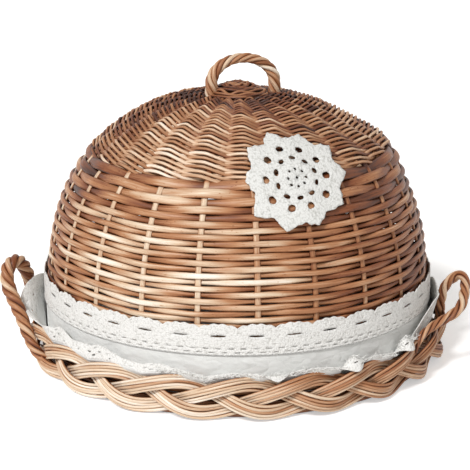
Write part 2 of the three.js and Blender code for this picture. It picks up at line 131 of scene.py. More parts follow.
WAD_WANDER = (0.9 * MM, 0.6 * MM)  # sideways and upwards
WAD_ROD = (1.7 * MM, 1.4 * MM)

# Tones of the rods, from 0 for dark brown to 1 for cream, and what changes them
STAKE_TONES = (0.66, 0.79)
STAKE_RIGHT_SHADE = 0.26  # painted shade, darker on the right
STAKE_CROWN_SHADE = 0.45  # painted shade, darker where they run in under the crown's rods
SIDE_TONES = (0.57, 0.83)
SIDE_RUNS = 0.12  # from one stretch of a rod to the next
SIDE_FRONT_LIGHT = 0.15  # painted light and shade: lighter where a rod stands out, darker where it goes in behind a stake
SIDE_SHADE_TONE = 0.67  # in the painted shade on the right the rods are closer to one tone
SIDE_PAINTED_SHADE = (0.33, 0.28)  # painted shade, darker on the right and on the far left
SIDE_TOP = 0.16  # darker in the thick upper rows
CROWN_TONES = (0.67, 0.47)  # at its edge and at its middle
CROWN_RUNS = 0.19
# painted light and shade: lighter where a rod stands out, darker where it goes in
CROWN_FRONT_LIGHT = 0.10
CROWN_MIDDLE = 0.28  # darker towards the middle
# painted shade on the right and on the far left
CROWN_PAINTED_SHADE = (0.18, 0.24)
BORDER_TONES = (0.72, 0.92)
# painted shade on the right and on the far left
BORDER_PAINTED_SHADE = (0.28, 0.14)
TONE_WOBBLE = 0.08  # slow change along a rod
GRAIN_SHIFT = 40  # each rod starts at its own place along the grain
GRAIN_LANES = 90  # and across it

# Lid trim
LINEN_THICKNESS = 0.8 * MM
SKIRT_CREASE = 0.45 * MM
LACE_LIFT = 37.5 * MM  # lower edge of the lace above the lid's lower edge
LACE_WIDTH = 22 * MM
LACE_SCALLOPS = 36
LACE_SCALLOP_HEIGHT = 3 * MM
LACE_PICOT = 0.9 * MM
LACE_STITCH = 2.4 * MM
LACE_RELIEF = 0.22 * MM  # of its stitches
LACE_RIPPLE = 0.3 * MM  # of its upper edge, in and out
LACE_THICKNESS = 0.9 * MM
LACE_BRAID = 0.55 * MM  # half of the thickness of its braided lower edge
LACE_DEPTH = 1.8 * MM  # middle of the lace outside the woven wall
DOILY_POINTS = 10
DOILY_RADIUS = 42 * MM
DOILY_NOTCH = 6.5 * MM
DOILY_ANGLE = 20.7 * DEG
DOILY_DROP = 1.8 * MM
DOILY_TIP_ANGLES = (-2, 33, 70, 103, 136, 181, 216, 248, 284, 323)  # degrees, from the right
DOILY_TIP_LENGTHS = (1.03, 1.03, 1.02, 1.09, 1.01, 0.95, 1.15, 1.07, 0.95, 1.02)
DOILY_THICKNESS = 1.3 * MM
DOILY_RELIEF = 0.2 * MM
DOILY_BED = 0.35 * MM  # it lies higher over the stakes
DOILY_DEPTH = 1.45 * MM  # middle of the doily outside the weave

# Handles: bundles of twisted rods
BUNDLE_TWIST = 42 * MM  # length of one turn of the twist
HANDLE_SPAN = 56 * MM
HANDLE_RISE = 26 * MM
HANDLE_OFFSET = 5 * MM
HANDLE_TURN = 18 * DEG
HANDLE_RADIUS = 5.6 * MM  # at its feet
HANDLE_TOP_RADIUS = 4.4 * MM
HANDLE_ROOT = 8 * MM
LEFT_EAR_RADIUS = 6.2 * MM
RIGHT_EAR_RADIUS = 4.6 * MM
# Middle lines of the ears from their front roots to their rear ones: degrees, and mm out and up
LEFT_EAR = [
    (-61.5, 174, 5), (-66.2, 185.5, 18), (-71, 188.5, 33), (-74.2, 192, 45), (-77.5, 197, 56),
    (-79.8, 200.5, 67), (-81.8, 198, 79), (-85.5, 189, 78), (-88.5, 185, 66), (-90.5, 181.5, 48),
    (-91.5, 178.5, 33), (-91.5, 178.4, 22),
]
RIGHT_EAR = [
    (55, 174, 24), (58, 175.5, 36), (63, 180.5, 41.5), (65.6, 186.7, 45), (67.8, 195, 49.5),
    (70, 199.2, 55), (73.3, 198.6, 61), (77.4, 198.4, 68), (80.5, 194, 71), (82.5, 187.8, 65),
    (83.5, 181.5, 57), (84, 178.5, 47), (84, 178, 33), (84, 178, 22),
]

# Tray base
BASE_ROWS = 31
BASE_MIDDLE = 14 * MM  # innermost row
BASE_SPLIT = 40 * MM  # rows inside this radius wave about half as often
BASE_EDGE = 2.5 * MM  # from the outermost row to the edge of the solid
BASE_SWING = 1.1 * MM
BASE_ROD = (2.35 * MM, 1.35 * MM)
SPOKE_START = 4 * MM
SPOKE_ROD = (1.6 * MM, 1.2 * MM)
UPSET_ROWS = 6
UPSET_EDGE = 1.5 * MM  # from the middle of its rods to the solid's face
UPSET_SWING = 0.5 * MM
UPSET_ROD_DEPTH = 0.95 * MM  # half of the rods' thickness
UPSET_FILL = 0.46  # half width of a rod as a part of its row's pitch

# Tray border: a plait of three flat strands of rods
STRANDS = 3
STRAND_RODS = 5
STRAND_ROD_RADIUS = 1.3 * MM
STRAND_ROD_PITCH = 2.38 * MM
PLAIT_REPEATS = 7
PLAIT_DEPTH = 3.7 * MM
PLAIT_ARCH = 1.3 * MM  # of a strand's middle rods over its edges
PLAIT_WANDER = 0.3 * MM  # of a rod out of its lane
BORDER_LOW = low("border_strand_01")
BORDER_TOP = high("border_strand_01") + 2.5 * MM
PLAIT_RADIUS = reach("border_strand_01") - PLAIT_DEPTH - 2.3 * MM
PLAIT_MIDDLE = (BORDER_LOW + BORDER_TOP) / 2
PLAIT_SWING = (BORDER_TOP - BORDER_LOW) / 2 - STRAND_ROD_PITCH * (STRAND_RODS - 1) / 2 - STRAND_ROD_RADIUS
PLAIT_TURN = 1.2 * DEG

# Tray liner
LINER_RADIUS = reach("liner_floor") + 0.7 * MM
LINER_FLOOR = low("liner_floor")
LINER_CREASE = 0.12 * MM
LINER_CRUMPLE = 0.3 * MM  # of its lace
LINER_SCALLOPS = 20
LINER_SCALLOP_TURN = 5 * DEG
# Edge of the liner by angle: degrees, then mm out and up of its hem and of its lace's free edge
LINER_EDGE = [
    (-150, 171, 35.5, 172.5, 46), (-110, 171, 35.5, 171, 47), (-99, 170.6, 38, 169.7, 52),
    (-92, 170.6, 43, 170.2, 58), (-88.5, 171.3, 45.5, 173, 63), (-85, 173, 46, 180.5, 64.5),
    (-82, 174.5, 45, 186, 59), (-77.5, 176, 41, 188.8, 50), (-71.5, 176.5, 38, 184.2, 42.5),
    (-65, 177, 36.8, 179.5, 40), (-57, 177, 36.8, 172.6, 47.5), (-48, 177, 36.8, 174.5, 43),
    (-39, 177, 36.8, 172.6, 46.5), (-30, 177, 36.8, 175, 41.5), (-21, 177, 36.8, 174.5, 42),
    (-10, 177, 36.8, 176.8, 39), (6.5, 177, 36.8, 177.4, 39), (9.5, 176.5, 42, 186, 36),
    (12.5, 177, 36.8, 177.6, 39), (27, 177, 37, 178, 39.5), (30, 175.5, 48, 190, 35),
    (33, 177, 37, 178, 39.5), (46, 177, 37, 178, 39.5), (49, 175, 48, 189, 36),
    (52, 175, 37, 176.5, 40), (58, 171.4, 36.8, 171.8, 44), (65, 171.3, 37, 172, 48),
    (70, 171.8, 39, 174.5, 54), (75, 172.6, 41, 178, 59), (80, 172, 42, 174.5, 61.5),
    (83, 171, 41.5, 171, 61), (88, 170.6, 39, 169.8, 58), (97, 170.6, 36.5, 169.8, 51),
    (115, 171, 35.5, 171.5, 46), (150, 171, 35.5, 172.5, 46),
]
FRAY_THREADS = 620
FRAY_SPAN = (-20, 62)  # degrees
FRAY_LENGTHS = (1.6, 4.6)  # mm
FRAY_RADIUS = 0.22 * MM

# Studio
WORLD_LIGHT = 0.27
WORLD_COLOUR = (1.0, 0.93, 0.85, 1)
FLOOR_LIFT = 0.46  # glow of the floor in what is seen, so that it reads as white and keeps its shadow
FLOOR_REACH = 30.0
FLOOR_DROP = 0.5 * MM
KEY_PLACE = (-0.7, -1.0, 1.15)
KEY_POWER = 2.5
KEY_SPREAD = 12 * DEG
FILL_PLACE = (0.9, -1.7, 0.9)
FILL_TARGET = (0, 0, 0.1)
FILL_POWER = 6
FILL_SIZE = 1.4
CAMERA_PLACE = (-0.0019, -1.080, 0.411)
CAMERA_PITCH = 0.284
CAMERA_LENS = 98.66  # mm


# Geometry helpers
def unit(v):
    return v / np.maximum(np.linalg.norm(v, axis=-1, keepdims=True), 1e-12)


def around(radius, angle, height):
    radius, angle, height = np.broadcast_arrays(radius, angle, height)
    return np.stack([radius * np.sin(angle), -radius * np.cos(angle), height], axis=-1)


def circle(count, start=-PI):
    """Angles all the way round, without the last one."""
    return np.linspace(start, start + TURN, count, endpoint=False)


def distances(path):
    """Length of a line up to each of its points."""
    steps = np.linalg.norm(np.diff(path, axis=0), axis=-1)
    return np.concatenate([[0], np.cumsum(steps)])


def smooth(x):
    x = np.clip(x, 0, 1)
    return x * x * (3 - 2 * x)


def mix(a, b, share):
    return a + (b - a) * share


def zigzag(phase, sharpness=0.94):
    """Cosine drawn out to nearly straight lines between its peaks."""
    return np.arcsin(sharpness * np.cos(phase)) / math.asin(sharpness)


def ripple(angle, lowest, highest, seed):
    """Smooth wobble round the object, from -1 to 1 or so, made of whole waves."""
    dice = np.random.default_rng(seed)
    total = np.zeros_like(angle)
    for k in range(lowest, highest + 1):
        total = total + dice.normal() * np.sin(k * angle + dice.uniform(0, TURN))
    return total / math.sqrt(highest - lowest + 1)


def make_dome_table():
    """The dome's line from the lid's lower edge to its apex: distance, radius, height and normal."""
    spring = LID_BOTTOM + LID_WALL_HEIGHT
    turn = np.linspace(0, PI / 2, DOME_STEPS)
    radius = LID_RADIUS * np.cos(turn) ** (2 / DOME_FULLNESS)
    height = spring + (LID_APEX - spring) * np.sin(turn) ** (2 / DOME_FULLNESS)
    wall = np.linspace(LID_BOTTOM, spring, WALL_STEPS + 1)[:-1]
    radius = np.concatenate([np.full_like(wall, LID_RADIUS), radius])
    height = np.concatenate([wall, height])
    radius[-1] = 0
    along = np.concatenate([[0], np.cumsum(np.hypot(np.diff(radius), np.diff(height)))])
    slope = unit(np.stack([np.gradient(radius, along), np.gradient(height, along)], axis=-1))
    return along, radius, height, slope[:, 1], -slope[:, 0]


DOME = make_dome_table()
DOME_LENGTH = DOME[0][-1]
CROWN_EDGE = DOME_LENGTH - CROWN_REACH


def shoulder(along, angle):
    """How far the lid's shoulder stands out at a place."""
    lengthwise = np.exp(-((along - CROWN_EDGE) / SHOULDER_REACH) ** 2)
    return SHOULDER_SWELL * lengthwise * np.clip(np.cos(angle - SHOULDER_ANGLE), 0, None) ** 2


def on_dome(along, angle, depth=0.0):
    """Points along the dome's line, moved out of its face by a depth, and the face's normals."""
    radius, height, out, up = (np.interp(along, DOME[0], column) for column in DOME[1:])
    depth = depth + shoulder(along, angle)
    points = around(radius + depth * out, angle, height + depth * up)
    return points, around(out, angle, up)


def dome_along(radius):
    """Distance along the dome's line at which it has a radius."""
    return np.interp(-radius, -DOME[1][WALL_STEPS:], DOME[0][WALL_STEPS:])


class Rods:
    """Rods gathered into one mesh, each with a tone, a grain and a face that looks outwards."""

    def __init__(self):
        self.points = []
        self.faces = []
        self.grain = []
        self.tone = []
        self.face = []
        self.size = 0

    def add(self, path, normal, half_width, half_depth, tone, sides=8, closed=False):
        count = len(path)
        if closed:
            tangent = unit(np.roll(path, -1, axis=0) - np.roll(path, 1, axis=0))
        else:
            tangent = unit(np.gradient(path, axis=0))
        across = unit(np.cross(tangent, normal))
        upward = np.cross(across, tangent)
        turn = TURN * np.arange(sides) / sides
        wide = np.broadcast_to(half_width, count)[:, None, None] * np.cos(turn)[None, :, None]
        deep = np.broadcast_to(half_depth, count)[:, None, None] * np.sin(turn)[None, :, None]
        rings = path[:, None] + wide * across[:, None] + deep * upward[:, None]
        tones = np.broadcast_to(tone, count)
        if closed:
            rings = np.concatenate([rings, rings[:1]])
            tones = np.concatenate([tones, tones[:1]])
        length = distances(rings.mean(axis=1)) + rng.uniform(0, GRAIN_SHIFT)
        grain = np.empty(rings.shape)
        grain[..., 0] = length[:, None]
        grain[..., 1] = np.cos(turn)[None]
        grain[..., 2] = np.sin(turn)[None] + rng.uniform(0, GRAIN_LANES)
        start = np.arange(len(rings) - 1)[:, None] * sides
        here = start + np.arange(sides)[None]
        side = start + (np.arange(sides)[None] + 1) % sides
        quads = np.stack([here, side, side + sides, here + sides], axis=-1).reshape(-1, 4) + self.size
        self.faces.extend(quads.tolist())
        if not closed:
            last = self.size + (len(rings) - 1) * sides
            self.faces.append([self.size + k for k in reversed(range(sides))])
            self.faces.append([last + k for k in range(sides)])
        self.points.append(rings.reshape(-1, 3))
        self.grain.append(grain.reshape(-1, 3))
        self.tone.append(np.repeat(tones, sides))
        self.face.append(np.tile(np.sin(turn), len(rings)))
        self.size += rings.shape[0] * sides

    def build(self, name, woven=False):
        """One object of all the rods. Woven ones can take a cloth's material."""
        mesh = bpy.data.meshes.new(name)
        mesh.from_pydata(np.concatenate(self.points), [], self.faces)
        grain = np.concatenate(self.grain)
        store(mesh, "grain", grain)
        store(mesh, "tone", np.concatenate(self.tone))
        store(mesh, "face", np.concatenate(self.face))
        if woven:
            store(mesh, "weave", grain)
        mesh.shade_smooth()
        return link(name, mesh)


def store(mesh, name, values):
    kind, field = ("FLOAT_VECTOR", "vector") if values.ndim == 2 else ("FLOAT", "value")
    layer = mesh.attributes.new(name, kind, "POINT")
    layer.data.foreach_set(field, np.ascontiguousarray(values, dtype=np.float32).ravel())


def link(name, data):
    obj = bpy.data.objects.new(name, data)
    scene.collection.objects.link(obj)
    return obj


def cloth(name, points, normals, thickness, weave, keep=None):
    """Sheet over a grid of points whose columns go all the way round.

    Keep says which cells are there; weave is the cloth's own flat coordinates.
    """
    rows, cols = points.shape[:2]
    if keep is None:
        keep = np.ones((rows - 1, cols), bool)
    half = normals * thickness / 2
    verts = np.concatenate([(points + half).reshape(-1, 3), (points - half).reshape(-1, 3)])
    under = rows * cols
    r, c = np.nonzero(keep)
    d = (c + 1) % cols
    a, b, e, f = r * cols + c, r * cols + d, (r + 1) * cols + d, (r + 1) * cols + c
    faces = np.concatenate([np.stack([a, b, e, f], -1), np.stack([f, e, b, a], -1) + under])
    padded = np.zeros((rows + 1, cols + 2), bool)
    padded[1:-1, 1:-1] = keep
    padded[1:-1, 0] = keep[:, -1]
    padded[1:-1, -1] = keep[:, 0]
    rims = []
    for open_side, p, q in ((~padded[r, c + 1], a, b), (~padded[r + 2, c + 1], e, f),
                            (~padded[r + 1, c], f, a), (~padded[r + 1, c + 2], b, e)):
        p, q = p[open_side], q[open_side]
        rims.append(np.stack([q, p, p + under, q + under], -1))
    faces = np.concatenate([faces, *rims])
    used, faces = np.unique(faces, return_inverse=True)
    mesh = bpy.data.meshes.new(name)
    mesh.from_pydata(verts[used], [], faces.reshape(-1, 4).tolist())
    flat = np.zeros((rows * cols, 3))
    flat[:, :2] = weave.reshape(-1, 2)
    store(mesh, "weave", np.concatenate([flat, flat])[used])
    mesh.shade_smooth()
    return link(name, mesh)


def grid_normals(points):
    """Normals of a grid whose columns go round and whose rows go up or outwards."""
    along = np.roll(points, -1, axis=1) - np.roll(points, 1, axis=1)
    return unit(np.cross(along, np.gradient(points, axis=0)))


def settle(obj, body, slot, material, *nodes):
    obj.data.materials.append(material)
    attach(obj, body)
    if nodes:
        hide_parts(*nodes)


def numbered(name, index):
    return f"{name}_{index + 1:02d}"


# Materials
def fresh_tree(owner):
    owner.use_nodes = True
    owner.node_tree.nodes.clear()
    return owner.node_tree


def new_material(name):
    material = bpy.data.materials.new(name)
    return material, fresh_tree(material)


def add(tree, kind, settings=None, **inputs):
    """New shader node. Its inputs are given by name, or by number after an underscore."""
    node = tree.nodes.new("ShaderNode" + kind)
    for key, value in (settings or {}).items():
        setattr(node, key, value)
    for key, value in inputs.items():
        socket = node.inputs[int(key[1:])] if key[0] == "_" else node.inputs[key.replace("_", " ")]
        if isinstance(value, bpy.types.NodeSocket):
            tree.links.new(value, socket)
        else:
            socket.default_value = value
    return node


def maths(tree, operation, a, b=0.0, c=0.0, clamp=False):
    return add(tree, "Math", {"operation": operation, "use_clamp": clamp}, _0=a, _1=b, _2=c).outputs[0]


def plus(tree, a, b, factor, clamp=False):
    """Sum of one value and a multiple of another."""
    return maths(tree, "ADD", a, maths(tree, "MULTIPLY", b, factor), clamp=clamp)


def ramp(tree, fac, stops):
    node = add(tree, "ValToRGB", Fac=fac)
    elements = node.color_ramp.elements
    for place, _ in stops[2:]:
        elements.new(place)
    for element, (place, colour) in zip(sorted(elements, key=lambda e: e.position), sorted(stops)):
        element.position = place
        element.color = (*colour, 1)
    return node.outputs[0]


def attribute(tree, name, output):
    return add(tree, "Attribute", {"attribute_name": name}).outputs[output]


def noise(tree, vector, scale, detail):
    return add(tree, "TexNoise", Vector=vector, Scale=scale, Detail=detail).outputs[0]


def stretched_noise(tree, vector, scales, detail):
    moved = add(tree, "Mapping", Vector=vector, Scale=scales).outputs[0]
    return noise(tree, moved, 1.0, detail)


def surface(tree, colour, roughness, height, strength, distance, **levels):
    """Surface with bumps of a height, as the material's output."""
    bump = add(tree, "Bump", Strength=strength, Distance=distance, Height=height).outputs[0]
    shader = add(tree, "BsdfPrincipled", Base_Color=colour, Roughness=roughness, Normal=bump, **levels)
    add(tree, "OutputMaterial", Surface=shader.outputs[0])


def rattan(name, colours, shine):
    """Varnished rod with streaks along its grain, dark specks, and painted shade in the crevices between
    rods.
    """
    material, tree = new_material(name)
    grain = attribute(tree, "grain", "Vector")
    face = attribute(tree, "face", "Fac")
    streaks = stretched_noise(tree, grain, (55, 3.2, 3.2), 5)
    fibres = stretched_noise(tree, grain, (30, 9, 9), 3)
    blotches = stretched_noise(tree, grain, (18, 0.4, 0.4), 2)
    specks = stretched_noise(tree, grain, (330, 2.6, 2.6), 1)
    fac = attribute(tree, "tone", "Fac")
    for source, strength in ((streaks, 0.5), (fibres, 0.22), (blotches, 0.6)):
        fac = maths(tree, "ADD", fac, maths(tree, "MULTIPLY_ADD", source, strength, -strength / 2))
    # Painted shade: each rod is darker on its sides and back, in the crevices between rods
    edge = maths(tree, "POWER", maths(tree, "SUBTRACT", 1.0, face, clamp=True), 2.0)
    fac = plus(tree, fac, edge, -0.42)
    speck = maths(tree, "SUBTRACT", specks, 0.66, clamp=True)
    fac = plus(tree, fac, speck, -1.6, clamp=True)
    stops = [(k / (len(colours) - 1), colour) for k, colour in enumerate(colours)]
    rough = maths(tree, "MULTIPLY_ADD", streaks, 0.25, shine)
    surface(tree, ramp(tree, fac, stops), rough, plus(tree, streaks, fibres, 0.7), 0.4, 0.3 * MM,
            Specular_IOR_Level=0.3, Coat_Weight=0.1, Coat_Roughness=0.25)
    return material


def crochet(name, light, dark, stitch):
    """Knotted cotton: uneven stitches, with painted shade in the small pits between them."""
    material, tree = new_material(name)
    weave = attribute(tree, "weave", "Vector")
    cells = add(tree, "TexVoronoi", Vector=weave, Scale=1 / stitch, Randomness=0.8)
    knots = maths(tree, "SUBTRACT", 1.0, maths(tree, "POWER", cells.outputs["Distance"], 1.6), clamp=True)
    fuzz = noise(tree, weave, 1500.0, 3.0)
    patches = noise(tree, weave, 120.0, 3.0)
    # Painted shade: darker in the pits between the stitches
    fac = plus(tree, maths(tree, "MULTIPLY", knots, 0.75), fuzz, 0.35)
    fac = maths(tree, "SUBTRACT", plus(tree, fac, patches, 0.35), 0.3, clamp=True)
    colour = ramp(tree, fac, [(0.1, dark), (0.55, light)])
    surface(tree, colour, 0.92, plus(tree, knots, fuzz, 0.5), 0.9, 0.6 * MM,
            Specular_IOR_Level=0.1, Sheen_Weight=0.1)
    return material


def threads(name, light, dark, pitch, strength, creases=0.0):
    """Cloth of crossed threads of a pitch, with creases of a height."""
    material, tree = new_material(name)
    weave = attribute(tree, "weave", "Vector")
    parts = add(tree, "SeparateXYZ", Vector=weave).outputs
    unevenness = noise(tree, weave, 260.0, 2.0)
    waves = []
    for part in parts[:2]:
        phase = plus(tree, maths(tree, "MULTIPLY", part, TURN / pitch), unevenness, 7.0)
        waves.append(maths(tree, "SINE", phase))
    lift = maths(tree, "MULTIPLY_ADD", maths(tree, "MULTIPLY", waves[0], waves[1]), 0.5, 0.5)
    fuzz = noise(tree, weave, 1900.0, 3.0)
    tone_shift = noise(tree, weave, 45.0, 3.0)
    # Painted shade: darker where the threads dip between their crossings
    fac = plus(tree, maths(tree, "MULTIPLY", lift, 0.45), fuzz, 0.35)
    fac = plus(tree, fac, tone_shift, 0.3, clamp=True)
    colour = ramp(tree, fac, [(0.2, dark), (0.75, light)])
    folds = stretched_noise(tree, weave, (42, 66, 1), 2)
    folds = maths(tree, "ABSOLUTE", maths(tree, "SUBTRACT", folds, 0.5))
    height = plus(tree, plus(tree, lift, fuzz, 0.6), folds, creases)
    surface(tree, colour, 0.92, height, strength, 0.4 * MM, Specular_IOR_Level=0.12, Sheen_Weight=0.15)
    return material


# Colours of the rods from dark to light
TAN = [(0.05, 0.014, 0.006), (0.205, 0.062, 0.021), (0.455, 0.212, 0.098), (0.735, 0.56, 0.395),
       (0.95, 0.87, 0.77)]
CROWN_TAN = [(0.045, 0.013, 0.006), (0.195, 0.061, 0.024), (0.43, 0.21, 0.102), (0.72, 0.50, 0.335),
             (0.95, 0.83, 0.70)]
THREAD_PITCH = 0.9 * MM
rattan_mat = rattan("rattan", TAN, shine=0.36)
crown_mat = rattan("crown_rattan", CROWN_TAN, shine=0.38)
stake_mat = rattan("stake_rattan", TAN, shine=0.42)
linen_mat = threads("linen", (0.88, 0.885, 0.87), (0.75, 0.755, 0.74), THREAD_PITCH, 0.5, creases=28.0)
lace_mat = crochet("lace", (0.84, 0.835, 0.815), (0.60, 0.59, 0.56), stitch=1.5 * MM)
doily_mat = crochet("doily", (0.80, 0.805, 0.785), (0.55, 0.55, 0.52), stitch=1.7 * MM)
thread_mat = threads("thread", (0.90, 0.90, 0.88), (0.80, 0.80, 0.78), THREAD_PITCH, 0.05)


# Lid stakes: eleven rods that cross in the middle of the crown
def stake_half(index):
    """Line of one stake from the lid's edge to the middle of the crown, with its normals and radii."""
    angle = STAKE_TURN + TURN * index / STAKES
    in_side = np.linspace(STAKE_START, CROWN_EDGE, 70)
    along = np.concatenate([in_side, np.linspace(CROWN_EDGE, DOME_LENGTH, 70)[1:]])
    place = index % HALF_STAKES
    if place < FIRST_GROUP:
        middle, layer = (FIRST_GROUP - 1) / 2, 1
    else:
        middle, layer = (FIRST_GROUP + HALF_STAKES - 1) / 2, -1
    crossing = smooth(1 - (DOME_LENGTH - along) / SLATH_OUTSIDE)
    in_crown = smooth((along - CROWN_EDGE + STAKE_STEP) / (2 * STAKE_STEP))
    depth = mix(SIDE_STAKE_DEPTH, CROWN_STAKE_DEPTH, in_crown)
    points, normals = on_dome(along, angle, -(depth + layer * STAKE_TIP_RADIUS * crossing))
    radius = np.hypot(points[:, 0], points[:, 1])
    flip = 1 if index < HALF_STAKES else -1
    group_angle = STAKE_TURN + TURN * middle / STAKES + (0 if flip > 0 else PI)
    straight = around(radius, group_angle, points[:, 2])
    straight += around((place - middle) * flip * SLATH_PITCH, group_angle + flip * PI / 2, 0.0)
    share = smooth((SLATH_OUTSIDE - radius) / (SLATH_OUTSIDE - SLATH_INSIDE))
    points = mix(points, straight, share[:, None])
    wide = mix(STAKE_TIP_RADIUS, STAKE_RADIUS, smooth(radius / TAPER_RADIUS))
    flat = smooth((CROWN_EDGE + STAKE_STEP / 2 - along) / STAKE_STEP)
    return points, normals, wide, mix(wide, STAKE_SIDE_DEPTH, flat)


def build_stakes():
    crown_base = np.interp(CROWN_EDGE, DOME[0], DOME[2]) - CROWN_STAKE_DEPTH
    for index in range(HALF_STAKES):
        halves = zip(stake_half(index), stake_half(index + HALF_STAKES))
        path, normals, wide, deep = (np.concatenate([near, far[::-1][1:]]) for near, far in halves)
        rods = Rods()
        # Painted shade on the right
        tone = rng.uniform(*STAKE_TONES) - STAKE_RIGHT_SHADE * right_shade(np.arctan2(path[:, 0], -path[:, 1]))
        # Painted shade where the stakes run in under the crown
        tone = tone - STAKE_CROWN_SHADE * smooth((path[:, 2] - crown_base) / STAKE_FADE)
        rods.add(path, normals, wide, deep, tone)
        stake = rods.build(numbered("stake_pair", index))
        settle(stake, "lid", "dark_rattan", stake_mat,
               numbered("lid_stake", index), numbered("lid_stake", index + HALF_STAKES))


# Lid side: rows of single rods, in front of one stake and behind the next
def side_rows():
    """Places of the rows along the dome's line, from the top down, with the room each has."""
    rows = []
    along = CROWN_EDGE
    while True:
        pitch = mix(SIDE_TOP_PITCH, SIDE_ROW_PITCH, min(len(rows) / SIDE_TOP_ROWS, 1))
        if along - pitch < HOOP_HEIGHT:
            return rows
        rows.append((along - pitch / 2, pitch))
        along -= pitch


def right_shade(angle):
    """How much painted shade darkens the rods on the right, the side away from the key lamp, from 0 to 1.
    """
    return smooth((np.sin(angle) + 0.35) / 1.1)


def shaded(angle):
    """How much painted shade darkens the rods on the far left, from 0 to 1."""
    return smooth((-np.sin(angle) - 0.64) / 0.32)


# Tone with painted shade on the right and at the far left
def with_painted_shade(tone, angle, tone_shift, shade):
    return tone - tone_shift * right_shade(angle) - shade * shaded(angle)


def tone_runs(phase, spread, dice):
    """Change of tone from one stretch of a rod that is in view to the next one."""
    stretch = np.floor((phase + PI) / TURN).astype(int)
    return dice.uniform(-spread, spread, HALF_STAKES)[stretch % HALF_STAKES]


def build_side():
    rods = Rods()
    angle = circle(STAKES * 16)
    dice = np.random.default_rng(17)
    shared = SIDE_WANDER[0] * ripple(angle, 3, 14, 99)
    for row, (along, pitch) in enumerate(side_rows()):
        phase = STAKES / 2 * (angle - STAKE_TURN) + PI * row
        wave = zigzag(phase)
        wander = shared + SIDE_WANDER[1] * ripple(angle, 3, 14, 100 + row)
        points, normals = on_dome(along + wander, angle, -SIDE_STAKE_DEPTH + SIDE_SWING * wave)
        # Each row is two rods, thick at the butt and thin at the tip, joined behind a stake
        start = STAKE_TURN + TURN * (2 * rng.integers(0, HALF_STAKES) + row + 1) / STAKES
        place = (angle - start) % TURN / TURN
        share = np.where(place < SIDE_JOIN, place / SIDE_JOIN, (place - SIDE_JOIN) / (1 - SIDE_JOIN))
        overlap = smooth((share - 1 + SIDE_OVERLAP) / SIDE_OVERLAP)
        taper = mix(SIDE_BUTT, SIDE_TIP, share) + (SIDE_BUTT - SIDE_TIP) * overlap
        top = ((pitch - SIDE_ROW_PITCH) / (SIDE_TOP_PITCH - SIDE_ROW_PITCH)) ** 0.5
        # Rods are a little wider between the stakes and narrower behind them
        width = SIDE_FILL + 0.03 * (1 - np.abs(wave)) - 0.05 * smooth(-wave) + 0.08 * top
        half = pitch * taper * (width + 0.015 * ripple(angle, 8, 30, 300 + row))
        tones = rng.uniform(*SIDE_TONES, 2)
        tone = np.where(place < SIDE_JOIN, tones[0], tones[1]) + tone_runs(phase, SIDE_RUNS, dice)
        # Painted light where a rod stands out, painted shade where it goes in behind a stake
        tone = tone + TONE_WOBBLE * ripple(angle, 3, 16, 500 + row) + SIDE_FRONT_LIGHT * wave
        # Painted shade on the right and at the far left
        tone = mix(tone, SIDE_SHADE_TONE, 0.4 * right_shade(angle))
        tone = with_painted_shade(tone, angle, *SIDE_PAINTED_SHADE) - SIDE_TOP * top
        rods.add(points, normals, half, SIDE_ROD_DEPTH * np.sqrt(taper), tone, sides=12, closed=True)
    settle(rods.build("side_weave"), "lid", "rattan", rattan_mat, "lid_side_weave")


